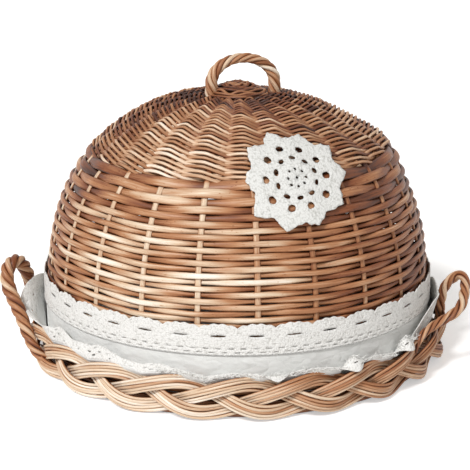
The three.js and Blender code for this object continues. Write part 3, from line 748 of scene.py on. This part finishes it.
# Lid crown: rows of two rods that twist round each other between the stakes
def build_crown():
    rods = Rods()
    dice = np.random.default_rng(19)
    rows = int((dome_along(CROWN_EYE) - CROWN_EDGE) / CROWN_ROW_PITCH)
    angle = circle(STAKES * 14)
    for row in range(rows):
        along = CROWN_EDGE + (row + 0.3) * CROWN_ROW_PITCH
        share = row / rows
        small = smooth(np.interp(along, DOME[0], DOME[1]) / TAPER_RADIUS)
        rod = CROWN_ROD_RADIUS * mix(0.8, 1.0, small)
        swing, dip = (depth * mix(0.6, 1.0, small) for depth in (CROWN_SWING, CROWN_DIP))
        for side in (0, 1):
            seed = 2 * row + side
            phase = STAKES / 2 * (angle - STAKE_TURN) + PI * (side + row)
            rise = -CROWN_SLANT * zigzag(phase - PI / 2) + CROWN_WANDER * ripple(angle, 3, 20, 700 + seed)
            wave = zigzag(phase + CROWN_LEAD, 0.985)
            humps = 1 + 0.1 * ripple(angle, 8, 30, 800 + seed)
            depth = -CROWN_STAKE_DEPTH + np.where(wave > 0, swing * humps, dip) * wave
            points, normals = on_dome(along + rise, angle, depth)
            tone = mix(*CROWN_TONES, smooth(share * 1.15)) + rng.uniform(-0.1, 0.1)
            tone = tone - CROWN_MIDDLE * smooth((share - 0.66) / 0.28) + tone_runs(phase, CROWN_RUNS, dice)
            # Painted light where a rod stands out, painted shade where it dips in
            tone = tone + TONE_WOBBLE * ripple(angle, 3, 12, 900 + seed) + CROWN_FRONT_LIGHT * wave
            # Painted shade on the right and at the far left
            tone = with_painted_shade(tone, angle, *CROWN_PAINTED_SHADE)
            # Thicker where it is hidden, so that no gaps show, and thinner where it stands out
            swell = 0.06 * ripple(angle, 5, 20, 1100 + seed)
            thick = rod * (1 + swell + 0.5 * smooth(0.45 - wave) - 0.13 * smooth(wave))
            rods.add(points, normals, thick, thick, tone, closed=True)
    # Binding rounds over two groups of the crossed stakes and under the other two
    ring = circle(120)
    group = STAKE_TURN + TURN * 2 / STAKES
    for index in range(BINDING_ROUNDS):
        radius = mix(BINDING_INSIDE, BINDING_OUTSIDE, index / (BINDING_ROUNDS - 1))
        wave = np.cos(2 * (ring - group)) * (-1) ** index
        wave = np.tanh(2.5 * wave) / math.tanh(2.5)
        along = dome_along(radius) + 0 * ring
        points, normals = on_dome(along, ring, -CROWN_STAKE_DEPTH + BINDING_SWING * wave)
        rods.add(points, normals, *BINDING_ROD, rng.uniform(0.15, 0.3), sides=7, closed=True)
    # Dark rods wound over the crossing, from the outside in
    for index in range(WAD_TURNS):
        radius = mix(WAD_RADIUS, WAD_EYE, index / (WAD_TURNS - 1))
        wobble = WAD_WANDER[0] * ripple(ring, 2, 7, 1300 + index)
        lift = mix(WAD_RISE, WAD_EDGE, (radius / WAD_RADIUS) ** 2)
        lift = lift + WAD_WANDER[1] * ripple(ring, 2, 9, 1400 + index)
        points, normals = on_dome(dome_along(radius + wobble), ring, lift)
        rods.add(points, normals, *WAD_ROD, dice.uniform(0.24, 0.46), closed=True)
    settle(rods.build("crown_weave"), "lid", "crown_rattan", crown_mat, "lid_crown_weave")


# Handles and hoop
def twisted(rods, path, reference, radius, twist, tones):
    """Rods of some tones, twisted round a line. Reference is a direction that the line never runs along."""
    tangent = unit(np.gradient(path, axis=0))
    across = unit(np.cross(tangent, reference))
    upward = np.cross(across, tangent)
    half = math.sin(PI / len(tones))
    rod = radius * half / (1 + half) * 1.12
    offset = np.broadcast_to(radius - rod, len(path))[:, None]
    for index, tone in enumerate(tones):
        turn = TURN * index / len(tones) + TURN * distances(path) / twist
        out = np.cos(turn)[:, None] * across + np.sin(turn)[:, None] * upward
        thick = rod * rng.uniform(0.9, 1.08)
        rods.add(path + offset * out, out, thick, thick, tone, sides=9)


def wind(node, body, path, reference, radius, tones, core):
    """Handle of twisted rods round a core."""
    rods = Rods()
    twisted(rods, path, reference, radius, BUNDLE_TWIST, tones)
    rods.add(path, reference, radius / 2, radius / 2, core)
    settle(rods.build(f"twisted_{node}"), body, "rattan", rattan_mat, node)


def build_hoop():
    rods = Rods()
    angle = np.linspace(-PI, PI, STAKES * 12 + 1)
    middle = (LID_BOTTOM + high("lid_base_hoop")) / 2
    path = around(LID_RADIUS - HOOP_RADIUS - 0.2 * MM, angle, middle)
    twisted(rods, path, UP, HOOP_RADIUS, TURN * LID_RADIUS / 30, [0.5, 0.6, 0.42])
    settle(rods.build("base_hoop"), "lid", "rattan", rattan_mat, "lid_base_hoop")


def softened(path, passes):
    """Line with its corners rounded off."""
    for _ in range(passes):
        path[1:-1] = (path[:-2] + 2 * path[1:-1] + path[2:]) / 4
    return path


def build_lid_handle():
    along = np.array([math.cos(HANDLE_TURN), math.sin(HANDLE_TURN), 0.0])
    feet = []
    for side in (-1, 1):
        place = np.array([HANDLE_OFFSET, 0.0, 0.0]) + side * HANDLE_SPAN / 2 * along
        place[2] = np.interp(dome_along(math.hypot(place[0], place[1])), DOME[0], DOME[2])
        feet.append(place)
    # An arch that stands on stubs, with its legs run on down into the crown
    turn = np.linspace(0, PI, 72)[:, None]
    line = (feet[0] + feet[1]) / 2 + (feet[0] - feet[1]) / 2 * np.cos(turn)
    line = line + UP * mix(HANDLE_RADIUS, HANDLE_RISE, np.sin(turn))
    share = np.linspace(0, 1, 16, endpoint=False)[:, None]
    first, last = (mix(feet[k] - HANDLE_ROOT * UP, line[-k], share) for k in (0, 1))
    path = softened(np.concatenate([first, line, last[::-1]]), 12)
    from_top = np.abs(np.linspace(-1, 1, len(path)))
    radius = mix(HANDLE_TOP_RADIUS, HANDLE_RADIUS, smooth(1.3 * from_top))
    wind("lid_handle", "lid", path, np.cross(along, UP), radius, [0.64, 0.44, 0.82, 0.38, 0.58], 0.35)


def build_ear(name, line, radius):
    """Ear handle round a line of places, thinner at its front root."""
    angle, out, height = np.array(line).T
    corners = around(out * MM, angle * DEG, height * MM)
    length = distances(corners)
    even = np.linspace(0, length[-1], 170)
    path = softened(np.stack([np.interp(even, length, column) for column in corners.T], axis=-1), 50)
    reference = np.linalg.svd(path - path.mean(axis=0), full_matrices=False)[2][2]
    thick = radius * mix(0.72, 1.0, smooth(even / length[-1] / 0.4))
    wind(name, "tray", path, reference, thick, [0.56, 0.4, 0.66, 0.34], 0.3)


# Tray border
def plait_phase(angle, strand):
    return PI / 2 + PLAIT_REPEATS * (angle - PLAIT_TURN) + TURN * strand / STRANDS


def border_top(angle):
    """Height of the plait's upper edge at an angle."""
    highest = np.max([np.sin(plait_phase(angle, strand)) for strand in range(STRANDS)], axis=0)
    return BORDER_TOP - PLAIT_SWING * (1 - highest)


def build_border():
    angle = circle(PLAIT_REPEATS * 44)
    for strand in range(STRANDS):
        rods = Rods()
        phase = plait_phase(angle, strand)
        slope = np.arctan(PLAIT_SWING * PLAIT_REPEATS * np.cos(phase) / PLAIT_RADIUS)
        weave = np.sin(2 * phase)
        for rod in range(STRAND_RODS):
            lane = rod - (STRAND_RODS - 1) / 2
            offset = lane * STRAND_ROD_PITCH + PLAIT_WANDER * ripple(angle, 4, 20, 40 * strand + rod)
            swell = PLAIT_ARCH * (1 - (2 * lane / (STRAND_RODS - 1)) ** 2)
            radius = PLAIT_RADIUS + PLAIT_DEPTH * weave + swell * np.sign(weave) * np.abs(weave) ** 0.7
            points = around(radius, angle - offset * np.sin(slope) / PLAIT_RADIUS,
                            PLAIT_MIDDLE + PLAIT_SWING * np.sin(phase) + offset * np.cos(slope))
            points[:, 2] = np.maximum(points[:, 2], STRAND_ROD_RADIUS + 0.1 * MM)
            thick = STRAND_ROD_RADIUS * (1 + 0.06 * ripple(angle, 2, 9, 60 * strand + rod))
            tone = rng.uniform(*BORDER_TONES) + TONE_WOBBLE * ripple(angle, 3, 12, 80 * strand + rod)
            # Painted shade on the right and at the far left
            tone = with_painted_shade(tone, angle, *BORDER_PAINTED_SHADE)
            rods.add(points, around(1.0, angle, 0.0), thick, thick, tone, closed=True)
        settle(rods.build(numbered("plait_strand", strand)), "tray", "rattan", rattan_mat,
               numbered("border_strand", strand))


# Tray base
def build_upset():
    rods = Rods()
    angle = circle(STAKES * 10)
    middle = reach("tray_upset_weave") - UPSET_EDGE
    pitch = high("tray_upset_weave") / UPSET_ROWS
    for row in range(UPSET_ROWS):
        wave = np.cos(STAKES * (angle - STAKE_TURN) / 2) * (-1) ** row
        points = around(middle + UPSET_SWING * wave, angle, (row + 0.5) * pitch)
        rods.add(points, around(1.0, angle, 0.0), UPSET_FILL * pitch, UPSET_ROD_DEPTH,
                 rng.uniform(0.3, 0.5), sides=6, closed=True)
    settle(rods.build("upset_weave"), "tray", "rattan", rattan_mat, "tray_upset_weave")


def build_base():
    rods = Rods()
    middle = high("tray_base_weave") / 2
    outside = reach("tray_base_weave") - BASE_EDGE
    angle = circle(STAKES * 8, start=0)
    for row in range(BASE_ROWS):
        radius = mix(BASE_MIDDLE, outside, row / (BASE_ROWS - 1))
        spokes = STAKES if radius > BASE_SPLIT else HALF_STAKES + 1
        wave = np.cos(spokes / 2 * (angle - STAKE_TURN)) * (-1) ** row
        points = around(radius, angle, middle + BASE_SWING * wave)
        rods.add(points, UP, *BASE_ROD, rng.uniform(0.4, 0.65), sides=6, closed=True)
    for spoke in range(STAKES):
        radius = np.linspace(SPOKE_START, outside, 12)
        points = around(radius, STAKE_TURN + TURN * spoke / STAKES, middle)
        rods.add(points, UP, *SPOKE_ROD, 0.55, sides=6)
    settle(rods.build("base_weave"), "tray", "rattan", rattan_mat, "tray_base_weave")


def build_sticks():
    for index in range(3):
        for kind, axis in (("pierced", 0), ("threaded", 1)):
            node = numbered(f"base_stick_{kind}", index)
            corner, far = (np.array(c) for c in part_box(node))
            ends = np.stack([(corner + far) / 2] * 2)
            ends[:, axis] = corner[axis], far[axis]
            path = mix(ends[0], ends[1], np.linspace(0, 1, 40)[:, None])
            half = (far[2] - corner[2]) / 2
            rods = Rods()
            rods.add(path, UP, half, half, rng.uniform(0.45, 0.6))
            settle(rods.build(f"peeled_{node}"), "tray", "dark_rattan", stake_mat, node)


# Cloth on the lid
def build_skirt():
    bottom, top = low("lid_linen_skirt"), high("lid_linen_skirt")
    a, z = np.meshgrid(circle(360), np.linspace(bottom, top, 16))
    lean = 0.6 * (1 - (z - bottom) / (top - bottom))
    crease = SKIRT_CREASE * ripple(a + 2.2 * (z - bottom), 12, 46, 21) * lean
    points = around(reach("lid_linen_skirt") - LINEN_THICKNESS / 2 + crease, a, z)
    weave = np.stack([a * LID_RADIUS, z], -1)
    skirt = cloth("linen_skirt", points, around(1.0, a, 0.0), LINEN_THICKNESS, weave)
    settle(skirt, "lid", "linen", linen_mat, "lid_linen_skirt")


def pierce(keep, place, row, first, length, middle, half, slack, least):
    """Open a lens-shaped hole between two rows of a cloth's grid."""
    cols = keep.shape[1]
    keep[row, np.arange(first, first + length) % cols] = False
    for k in range(length + 1):
        share = max(1 - ((k - length / 2) / (length / 2 + slack)) ** 2, 0)
        spread = max(half * math.sqrt(share), least)
        c = (first + k) % cols
        place[row, c] = middle - spread
        place[row + 1, c] = middle + spread


def build_lace():
    per = 24  # columns in each scallop
    cols = LACE_SCALLOPS * per
    step = TURN / cols
    angle = np.arange(cols) * step - PI
    column = np.arange(cols) % per
    levels = MM * np.array([0, 0.9, 1.5, 2.7, 3.6, 4.6, 5.8, 7.2, 9.0, 11.0, 13.0, 14.8, 15.8, 17.4, 18.9,
                            20.4, 21.6, 22.6])
    slot_row, low_row, mid_row = 11, 2, 5
    straight = levels[slot_row + 1]  # the scallops are drawn up from here
    place = np.repeat(levels[:, None], cols, axis=1)
    scallop = np.abs(np.sin(PI * column / per)) ** 0.7
    picot = np.abs(np.sin(PI * 4 * column / per)) ** 1.5
    top = LACE_WIDTH + LACE_SCALLOP_HEIGHT * scallop + LACE_PICOT * picot - 0.6 * MM
    lift = smooth((place - straight) / (levels[-1] - straight))
    place = place + lift * (top - levels[-1])[None]
    width = step * LID_RADIUS
    keep = np.ones((len(levels) - 1, cols), bool)
    uneven = np.random.default_rng(5)

    def opening(row, first, length, smallest, largest):
        middle = (levels[row] + levels[row + 1]) / 2
        half = uneven.uniform(smallest, largest) * MM
        pierce(keep, place, row, first, length, middle, half, 0, 0.12 * MM)

    for first in range(0, cols, per):
        opening(slot_row, first + per // 2 - 5, 10, 0.55, 1.0)
        for k in range(3):
            opening(mid_row, first + 8 * k + 2, 4, 0.2, 0.45)
            opening(low_row, first + 8 * k + 6, 4, 0.2, 0.45)
    a = np.broadcast_to(angle, place.shape)
    across = np.cos(TURN * a * LID_RADIUS / (2 * width) / 2)
    relief = LACE_RELIEF * np.sin(TURN * place / LACE_STITCH) * across
    ripples = LACE_RIPPLE * ripple(angle, 20, 60, 31)[None] * smooth((place - 12 * MM) / (10 * MM))
    points, normals = on_dome(LACE_LIFT + place, a, LACE_DEPTH + relief + ripples)
    weave = np.stack([a * LID_RADIUS, place], -1)
    lace = cloth("lace_band", points, normals, LACE_THICKNESS, weave, keep)
    settle(lace, "lid", "lace", lace_mat, "lid_lace_band")
    # Braided lower edge
    rods = Rods()
    ring = np.linspace(-PI, PI, LACE_SCALLOPS * 36 + 1)
    path, normals = on_dome(LACE_LIFT + 0.2 * MM + 0 * ring, ring, LACE_DEPTH + 0.3 * MM)
    for side in (0, 1):
        turn = (ring * 260 + PI * side)[:, None]
        line = path + LACE_BRAID / 2 * (np.sin(turn) * normals + np.cos(turn) * UP)
        rods.add(line, normals, LACE_BRAID * 0.62, LACE_BRAID * 0.62, 0.5, sides=5)
    braid = rods.build("lace_lower_braid", woven=True)
    settle(braid, "lid", "lace", lace_mat)


def build_doily():
    per = 16  # spokes in each point
    cols = DOILY_POINTS * per
    column = np.arange(cols)
    shares = np.array([0.03, 0.07, 0.11, 0.155, 0.215, 0.27, 0.32, 0.38, 0.48, 0.51, 0.54, 0.57, 0.73,
                       0.76, 0.80, 0.84, 0.88, 0.92, 0.96, 1.0])
    inner_row, mid_row, outer_row = 3, 7, 11
    straight = 1 - np.abs(2 * column / per % 2 - 1)  # 0 at a tip, 1 between two tips
    beside = mix(straight, np.sin(PI / 2 * straight) ** 1.5, 0.6)
    edge = DOILY_RADIUS - DOILY_NOTCH * beside + 0.5 * MM * np.cos(TURN * column / 4)
    edge = edge + 0.6 * MM * ripple(TURN * column / cols, 6, 40, 15)
    mean = DOILY_RADIUS - DOILY_NOTCH / 2
    blend = smooth((shares - 0.76) / 0.24)[:, None]
    size = shares[:, None] * mix(mean, edge[None], blend)
    keep = np.ones((len(shares) - 1, cols), bool)
    dice = np.random.default_rng(8)

    def opening(row, column, half, shift):
        middle = (shares[row] + shares[row + 1]) / 2 * mean + shift
        room = (shares[row + 1] - shares[row]) / 2 * mean * dice.uniform(0.8, 1.1)
        pierce(keep, size, row, column - half, 2 * half, middle, room, 0.3, 0.25 * MM)

    for tip in range(0, cols, per):
        opening(outer_row, tip, 3, dice.normal(0, 0.5) * MM)
        opening(mid_row, tip + per // 2, 4, dice.normal(0, 0.3) * MM)
    for small in range(8):
        opening(inner_row, small * cols // 8, 4, 0.0)
    order = np.arange(DOILY_POINTS + 1) * per
    spin = DEG * np.interp(column, order, DOILY_TIP_ANGLES + (DOILY_TIP_ANGLES[0] + 360,))
    stretch = np.interp(column, order, DOILY_TIP_LENGTHS + DOILY_TIP_LENGTHS[:1])
    size = size * stretch[None]
    right, upward = size * np.cos(spin), size * np.sin(spin)
    along = CROWN_EDGE - DOILY_DROP + upward
    angle = DOILY_ANGLE + right / np.interp(along, DOME[0], DOME[1])
    relief = DOILY_RELIEF * np.cos(TURN * shares[:, None] * 12) * np.cos(TURN * column[None] / 2)
    bed = DOILY_BED * np.cos(STAKES * (angle - STAKE_TURN))
    points, normals = on_dome(along, angle, DOILY_DEPTH + relief + bed)
    weave = np.stack([right, upward], -1)
    doily = cloth("crochet_doily", points, normals, DOILY_THICKNESS, weave, keep)
    settle(doily, "lid", "lace", doily_mat, "lid_doily")


# Cloth in the tray
def make_liner_table():
    """LINER_EDGE for every half degree, with rounded corners."""
    grid = np.arange(-180, 180, 0.5)
    columns = np.array(LINER_EDGE).T
    values = [np.interp(grid, columns[0], column, period=360) for column in columns[1:]]
    for _ in range(12):
        values = [(np.roll(v, 1) + 2 * v + np.roll(v, -1)) / 4 for v in values]
    return grid * DEG, [v * MM for v in values]


LINER_TABLE = make_liner_table()


def liner_edge(angle):
    """Radius and height of the liner's hem and of its lace's free edge at an angle."""
    grid, columns = LINER_TABLE
    hem, hem_height, lace, lace_height = (np.interp(angle, grid, column, period=TURN) for column in columns)
    on_border = smooth((hem - LINER_RADIUS - 3 * MM) / (3 * MM))
    sag = 0.75 * on_border * (BORDER_TOP - border_top(angle)) + 0.4 * MM * ripple(angle, 5, 22, 71)
    return hem, hem_height - sag, lace, lace_height - 0.8 * sag


def build_liner():
    angle = circle(480)
    edge_radius, edge_height, _, _ = liner_edge(angle)
    a, share = np.meshgrid(angle, np.linspace(0, 1, 16))
    lean = smooth((share - 0.5) / 0.5)
    crease = LINER_CREASE * ripple(a + share, 14, 50, 73) * lean
    radius = mix(LINER_RADIUS, edge_radius[None], lean) + crease
    height = mix(LINER_FLOOR, edge_height[None], share)
    points = around(radius, a, height)
    weave = np.stack([a * LINER_RADIUS, height], -1)
    wall = cloth("linen_liner_wall", points, grid_normals(points), LINEN_THICKNESS, weave)
    settle(wall, "tray", "linen", linen_mat, "liner_wall")


def build_liner_floor():
    outside = reach("liner_floor")
    a, r = np.meshgrid(circle(180, start=0), np.linspace(0.0005, 1, 24) * outside)
    dent = LINER_CREASE * ripple(a + 20 * r, 3, 12, 77)
    points = around(r, a, (LINER_FLOOR + high("liner_floor")) / 2 + dent)
    floor = cloth("linen_liner_floor", points, UP, LINEN_THICKNESS, points[..., :2])
    settle(floor, "tray", "linen", linen_mat, "liner_floor")


def build_liner_lace():
    per = 30  # columns in each scallop
    cols = LINER_SCALLOPS * per
    angle = np.arange(cols) * TURN / cols - PI + LINER_SCALLOP_TURN
    share = np.array([0, 0.08, 0.16, 0.24, 0.34, 0.42, 0.50, 0.58, 0.68, 0.76, 0.84, 0.92, 1.0])[:, None]
    tip = 1 - (np.abs(np.arange(cols) % per - per / 2) / (per / 2)) ** 1.3
    keep = np.ones((len(share) - 1, cols), bool)
    for scallop in range(LINER_SCALLOPS):
        centre = scallop * per + per // 2
        for row, columns in ((3, (-1, 0)), (6, (-4, -3, 2, 3)), (9, (-1, 0)), (3, (-10, 9))):
            for c in columns:
                keep[row, (centre + c) % cols] = False
    hem, hem_height, edge, edge_height = liner_edge(angle)
    longer = mix(0.86, 1.12, tip)
    out, up = (edge - hem) * longer, (edge_height - hem_height) * longer
    width = np.hypot(out, up)
    hump = 0.8 * share * (1 - share) * np.clip(out, 0, None)
    radius = hem + out * share
    height = hem_height - 0.3 * MM + up * share + hump
    a = np.broadcast_to(angle, radius.shape)
    crumple = LINER_CRUMPLE * ripple(a + 3 * share, 14, 50, 81) * share
    points = around(radius + crumple, a, height + 0.5 * crumple)
    weave = np.stack([a * LINER_RADIUS, share * width[None]], -1)
    lace = cloth("liner_lace", points, grid_normals(points), LACE_THICKNESS, weave, keep)
    settle(lace, "tray", "lace", lace_mat, "liner_lace_edge")


def build_fray():
    rods = Rods()
    dice = np.random.default_rng(91)
    share = np.linspace(0, 1, 6)[:, None]
    for _ in range(FRAY_THREADS):
        angle = dice.uniform(*FRAY_SPAN) * DEG
        radius, height, _, _ = liner_edge(np.array([angle]))
        radius = radius[0] + dice.uniform(-0.5, 2.5) * MM
        start = around(radius, angle, height[0] + dice.uniform(0.0, 1.2) * MM)
        way = dice.normal(0, 1.1) * around(1.0, angle + PI / 2, 0.0)
        way = way + dice.uniform(0.0, 1.0) * around(1.0, angle, 0.0)
        way = unit(way + dice.uniform(-0.1, 0.8) * UP)
        curl = unit(dice.normal(0, 1, 3))
        length = dice.uniform(*FRAY_LENGTHS) * MM
        path = start + way * length * share + curl * length * 0.3 * share * share
        normal = unit(np.cross(way, [0.3, 0.2, 0.9]))
        rods.add(path, normal, FRAY_RADIUS, FRAY_RADIUS, 0.5, sides=4)
    settle(rods.build("frayed_hem", woven=True), "tray", "linen", thread_mat)


# Stage, light and camera
def seen(tree):
    """1 for the rays that show the background: those of the camera, and of reflections and glass."""
    rays = add(tree, "LightPath").outputs
    shown = maths(tree, "ADD", rays["Is Camera Ray"], rays["Is Glossy Ray"], clamp=True)
    return maths(tree, "ADD", shown, rays["Is Transmission Ray"], clamp=True)


def build_stage():
    mesh = bpy.data.meshes.new("floor")
    far = FLOOR_REACH
    mesh.from_pydata([(-far, -far, 0), (far, -far, 0), (far, far, 0), (-far, far, 0)], [], [(0, 1, 2, 3)])
    floor = link("floor", mesh)
    floor.location.z = -FLOOR_DROP
    material, tree = new_material("floor")
    speck = add(tree, "TexNoise", Scale=30.0, Detail=2.0).outputs[0]
    colour = ramp(tree, speck, [(0.0, (0.90, 0.90, 0.90)), (1.0, (0.93, 0.93, 0.93))])
    shader = add(tree, "BsdfPrincipled", Base_Color=colour, Roughness=0.9)
    glow = add(tree, "Emission", Strength=maths(tree, "MULTIPLY", seen(tree), FLOOR_LIFT))
    both = add(tree, "AddShader", _0=shader.outputs[0], _1=glow.outputs[0])
    add(tree, "OutputMaterial", Surface=both.outputs[0])
    mesh.materials.append(material)


def lamp(name, kind, place, target, power, **settings):
    light = bpy.data.lights.new(name, kind)
    light.energy = power
    for key, value in settings.items():
        setattr(light, key, value)
    obj = link(name, light)
    obj.location = place
    obj.rotation_euler = (Vector(target) - Vector(place)).to_track_quat("-Z", "Y").to_euler()


def build_light():
    lamp("key", "SUN", KEY_PLACE, (0, 0, 0), KEY_POWER, angle=KEY_SPREAD)
    lamp("fill", "AREA", FILL_PLACE, FILL_TARGET, FILL_POWER, size=FILL_SIZE)
    world = bpy.data.worlds.new("studio")
    tree = fresh_tree(world)
    light = add(tree, "Background", Color=WORLD_COLOUR, Strength=WORLD_LIGHT)
    white = add(tree, "Background", Color=(1, 1, 1, 1), Strength=1.0)
    both = add(tree, "MixShader", _0=seen(tree), _1=light.outputs[0], _2=white.outputs[0])
    add(tree, "OutputWorld", Surface=both.outputs[0])
    scene.world = world


def build_camera():
    camera = bpy.data.cameras.new("camera")
    camera.lens = CAMERA_LENS
    obj = link("camera", camera)
    obj.location = CAMERA_PLACE
    obj.rotation_euler = (PI / 2 - CAMERA_PITCH, 0, 0)
    scene.camera = obj


build_stakes()
build_side()
build_crown()
build_hoop()
build_lid_handle()
build_skirt()
build_lace()
build_doily()
build_base()
build_sticks()
build_upset()
build_border()
build_ear("tray_handle_left", LEFT_EAR, LEFT_EAR_RADIUS)
build_ear("tray_handle_right", RIGHT_EAR, RIGHT_EAR_RADIUS)
build_liner()
build_liner_floor()
build_liner_lace()
build_fray()
build_stage()
build_light()
build_camera()

scene.view_settings.view_transform = "Standard"
